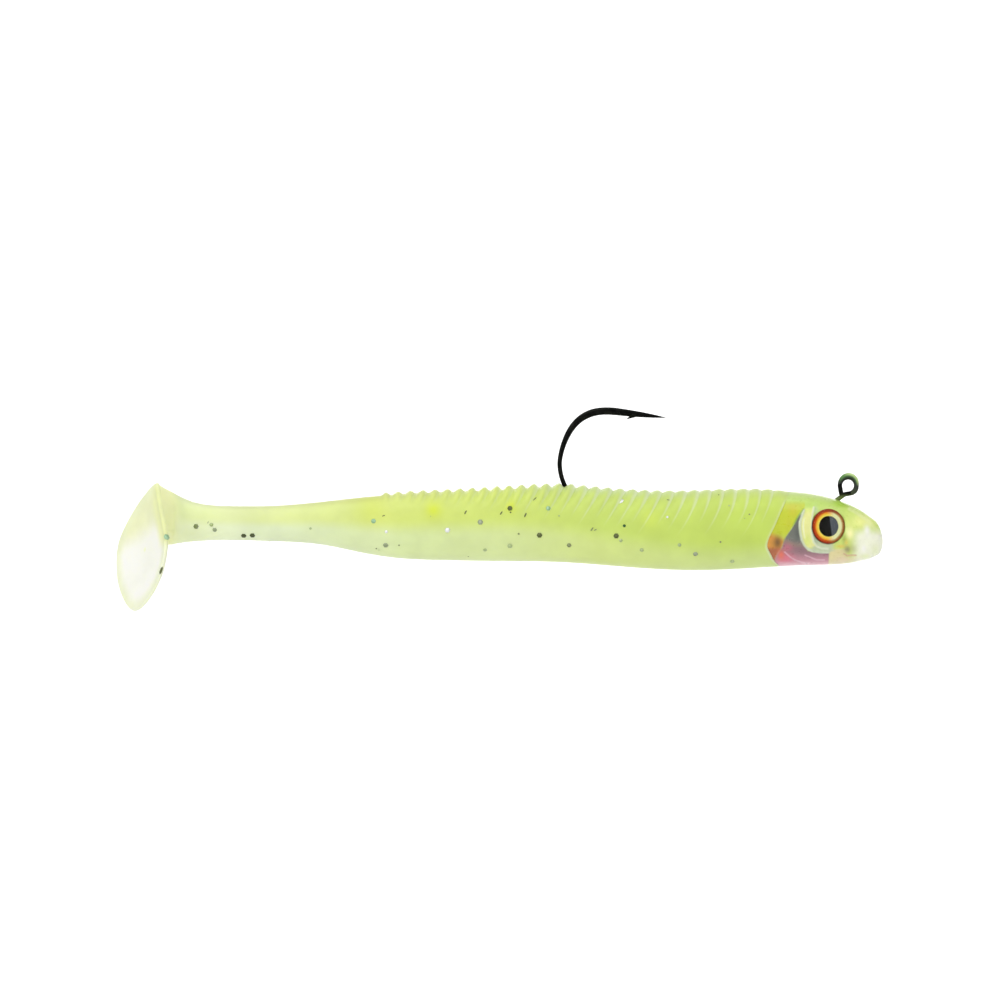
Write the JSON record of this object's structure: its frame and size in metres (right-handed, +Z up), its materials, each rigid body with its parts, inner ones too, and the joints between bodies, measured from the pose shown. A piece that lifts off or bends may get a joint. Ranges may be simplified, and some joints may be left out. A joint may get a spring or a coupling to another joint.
{
  "type": "swimbait",
  "caption": "Soft paddle-tail swimbait on a weighted jig hook, with a clear rattling head, domed eyes, a ribbed back and a tail that swings and kicks.",
  "frame": {"origin": "centre of the line tie's eye", "axes": "+X towards the nose, +Y towards the lure's left side, +Z up towards the hook's point"},
  "size_m": [0.1144, 0.0139, 0.0303],
  "materials": {
    "hook_wire": "black nickel plated wire",
    "cast_weight": "cast metal, painted pale on the sides that show",
    "clear_shell": "clear tinted plastic, glossy",
    "printed_foil": "printed foil, silver to pink",
    "eye_print": "printed foil eye, gold with a black pupil",
    "clear_dome": "clear domed resin",
    "rattle_plastic": "plain moulded plastic",
    "rattle_steel": "polished steel ball",
    "soft_body": "translucent soft plastic with glitter",
    "soft_tail": "translucent soft plastic, paler at the paddle"
  },
  "bodies": {
    "head": {"hook": "hook_wire", "weight_core": "cast_weight", "keeper_collar": "cast_weight", "head_shell_left": "clear_shell", "head_shell_right": "clear_shell", "cheek_foil_left": "printed_foil", "cheek_foil_right": "printed_foil", "eye_foil_left": "eye_print", "eye_foil_right": "eye_print", "eye_dome_left": "clear_dome", "eye_dome_right": "clear_dome", "rattle_tube": "rattle_plastic", "rattle_end_caps": "rattle_plastic", "body_front": "soft_body"},
    "rattle_ball": {"rattle_ball": "rattle_steel"},
    "rear": {"body_rear": "soft_body"},
    "stalk": {"tail_stalk": "soft_body"},
    "paddle": {"tail_paddle": "soft_tail"}
  },
  "joints": [
    {"name": "rattle_travel", "type": "slide", "parent": "head", "child": "rattle_ball", "axis": [0, 1, 0], "range_m": [-0.0007, 0.0007]},
    {"name": "rear_swing", "type": "hinge", "parent": "head", "child": "rear", "pos_m": [-0.058, 0, 0], "axis": [0, 0, 1], "range_deg": [-15, 15], "stiffness_Nm_per_rad": 0.006},
    {"name": "stalk_swing", "type": "hinge", "parent": "rear", "child": "stalk", "pos_m": [-0.08, 0, 0], "axis": [0, 0, 1], "range_deg": [-30, 30], "stiffness_Nm_per_rad": 0.002},
    {"name": "paddle_kick", "type": "hinge", "parent": "stalk", "child": "paddle", "pos_m": [-0.1005, 0, 0], "axis": [0, 0, 1], "range_deg": [-78, 12], "stiffness_Nm_per_rad": 0.0008}
  ]
}
